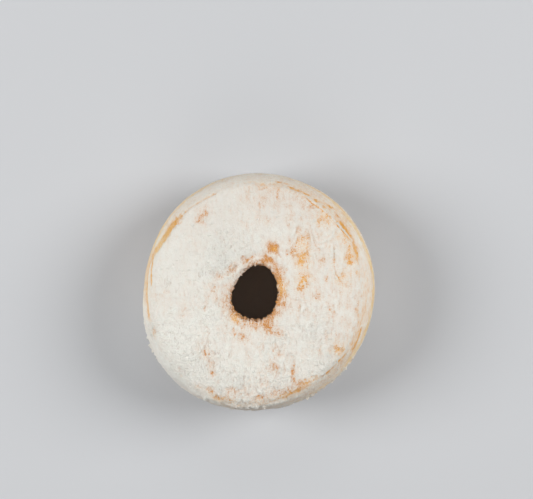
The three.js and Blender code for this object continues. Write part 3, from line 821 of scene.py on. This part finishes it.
def fold_pieces():
    """A thin ridge with a broken crest along each fold."""
    field = Noise(55)
    rib = np.array([(-2.2, -0.4), (-1.0, 0.35), (-0.25, 0.95), (0.2, 1.0), (1.1, -0.4), (0.0, -0.8)])
    points, faces, owners, start = [], [], [], 0
    for number, (line, wide, tall) in enumerate(FOLDS):
        line = np.array(line, float)
        run = np.concatenate([[0], np.cumsum(np.hypot(*np.diff(line, axis=0).T))])
        steps = max(int(run[-1] / 0.22), 6)
        t = np.linspace(0, run[-1], steps + 1)
        x, y = np.interp(t, run, line[:, 0]), np.interp(t, run, line[:, 1])
        seed = np.stack([t / 1.1, np.full_like(t, number * 7.3), np.zeros_like(t)], 1)
        sway, swell, crest = field.layers(seed, 2), field.layers(seed + 31, 2), field.layers(seed * 2.2 + 63, 2)
        way = np.stack([np.gradient(x), np.gradient(y)], 1)
        way /= np.linalg.norm(way, axis=1, keepdims=True)
        x, y = x - way[:, 1] * 0.16 * sway, y + way[:, 0] * 0.16 * sway
        middle, out = on_surface(x, y)
        ahead = np.gradient(middle, axis=0)
        aside = np.cross(ahead, out)
        aside /= np.linalg.norm(aside, axis=1, keepdims=True)
        taper = np.sin(math.pi * np.clip(t / run[-1], 0.0, 1.0)) ** 0.45 + 0.02
        w = wide * taper * np.clip(1 + 0.6 * swell, 0.4, 1.6)
        h = 0.30 * tall * taper * np.clip(1 + 1.6 * crest, 0.05, 1.8)
        here = [grid_place(math.hypot(u, v), math.degrees(math.atan2(v, u))) for u, v in zip(x, y)]
        for u, v in rib:
            points.append(middle + aside * (w * u)[:, None] + out * (h * v)[:, None])
            owners.append(here)
        n, m = steps + 1, len(rib)
        at = lambda a, i: start + (a % m) * n + i
        faces += [(at(a, i), at(a, i + 1), at(a + 1, i + 1), at(a + 1, i)) for a in range(m) for i in range(steps)]
        faces += [tuple(at(a, 0) for a in range(m)), tuple(at(a, steps) for a in reversed(range(m)))]
        start += n * m
    return np.concatenate(points), faces, np.concatenate(owners)


looks = {"sugar": thick, "loose": loose, "pale": pale_at, "hole_shade": hole_shade, "golden": golden, "hollow_and_shade": 0.3 * hollow_and_shade, "coarse": rough, "bright": bright, "painted_shade": painted_shade, "comb": 0 * comb}


def as_here(where, extra, **other):
    """The looks of the surface at these points of the mesh, with more sugar on them and with other looks of their own."""
    here = {key: values[where] for key, values in looks.items()}
    here["sugar"] = here["sugar"] + extra
    here.update({key: np.full(len(where), value) for key, value in other.items()})
    return here


clump_points, clump_faces, clump_at = loose_pieces()
sugar_clumps = new_piece("sugar_clumps", clump_points, clump_faces.tolist(), as_here(clump_at, 0.22 + 0.34 * (1 - smooth(S[clump_at], 4, 10))), doughnut.data.materials[0], rounded=False)
fold_points, fold_faces, fold_at = fold_pieces()
sugar_folds = new_piece("sugar_folds", fold_points, fold_faces, as_here(fold_at, 0.20, coarse=0.15, bright=0.6), doughnut.data.materials[0])

for piece in (doughnut, sugar_clumps, sugar_folds):
    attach(piece, "root")
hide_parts("doughnut")

# ---------------------------------------------------------------- floor, light, camera
def floor():
    mesh = bpy.data.meshes.new("floor")
    e = 3.0
    mesh.from_pydata([(-e, -e, 0), (e, -e, 0), (e, e, 0), (-e, e, 0)], [], [(0, 1, 2, 3)])
    o = bpy.data.objects.new("floor", mesh)
    bpy.context.scene.collection.objects.link(o)
    m = Nodes("floor")
    m.shader.inputs["Base Color"].default_value = (0.56, 0.57, 0.59, 1)
    m.shader.inputs["Roughness"].default_value = 0.9
    m.shader.inputs["Specular IOR Level"].default_value = 0.1
    mesh.materials.append(m.material)


def area_light(name, direction, distance, size, power, colour=(1, 1, 1)):
    light = bpy.data.lights.new(name, "AREA")
    light.shape = "DISK"
    light.size = size
    light.energy = power
    light.color = colour
    o = bpy.data.objects.new(name, light)
    bpy.context.scene.collection.objects.link(o)
    d = np.array(direction, float)
    d /= np.linalg.norm(d)
    from mathutils import Vector

    o.location = Vector(d * distance) + Vector((0, 0, 0.02))
    o.rotation_euler = Vector(d).to_track_quat("Z", "Y").to_euler()


def camera(tilt, azimuth, distance, scale, target):
    """Looks at the ring's middle from `tilt` off the vertical, with the middle at a pixel of the 533 x 499 frame. scale is pixels per mm there."""
    wide, tall = 533, 499
    t, a = math.radians(tilt), math.radians(azimuth)
    away = np.array([math.sin(t) * math.cos(a), math.sin(t) * math.sin(a), math.cos(t)])
    middle = np.array([0, 0, WIDEST_Z])
    focal = scale * distance

    def axes(back, up):
        x = np.cross(up, back)
        x /= np.linalg.norm(x)
        return np.stack([x, np.cross(back, x), back], 1)

    ray = np.array([target[0] - wide / 2, tall / 2 - target[1], -focal])
    ray /= np.linalg.norm(ray)
    up = np.array([0.0, 1.0, 0.0])
    turn = axes(away, up) @ axes(-ray, up).T
    data = bpy.data.cameras.new("camera")
    data.sensor_width = 36
    data.lens = focal / wide * 36
    data.clip_start = 0.01
    data.clip_end = 20
    o = bpy.data.objects.new("camera", data)
    bpy.context.scene.collection.objects.link(o)
    m = np.eye(4)
    m[:3, :3] = turn
    m[:3, 3] = (middle + away * distance) * MM
    o.matrix_world = Matrix(m.tolist())
    bpy.context.scene.camera = o


floor()
area_light("left", (-0.80, 0.06, 0.59), 1.2, 0.7, 11.15, (1.0, 0.998, 0.99))
area_light("right", (0.77, 0.18, 0.59), 1.2, 0.7, 11.3, (1.0, 0.998, 0.99))
area_light("back", (0.0, 0.80, 0.59), 1.2, 0.7, 1.7, (1.0, 0.998, 0.99))
area_light("front", (0.0, -0.80, 0.59), 1.2, 0.7, 2.15, (1.0, 0.998, 0.99))

world = bpy.data.worlds.new("world")
world.use_nodes = True
world.node_tree.nodes["Background"].inputs["Color"].default_value = (0.99, 1.0, 1.0, 1)
world.node_tree.nodes["Background"].inputs["Strength"].default_value = 0.08
bpy.context.scene.world = world
bpy.context.scene.view_settings.view_transform = "Standard"
bpy.context.scene.view_settings.look = "None"
bpy.context.scene.view_settings.exposure = 0.0
bpy.context.scene.view_settings.gamma = 1.0

camera(tilt=4.5, azimuth=30, distance=600, scale=2.742, target=(258.7, 291.7))
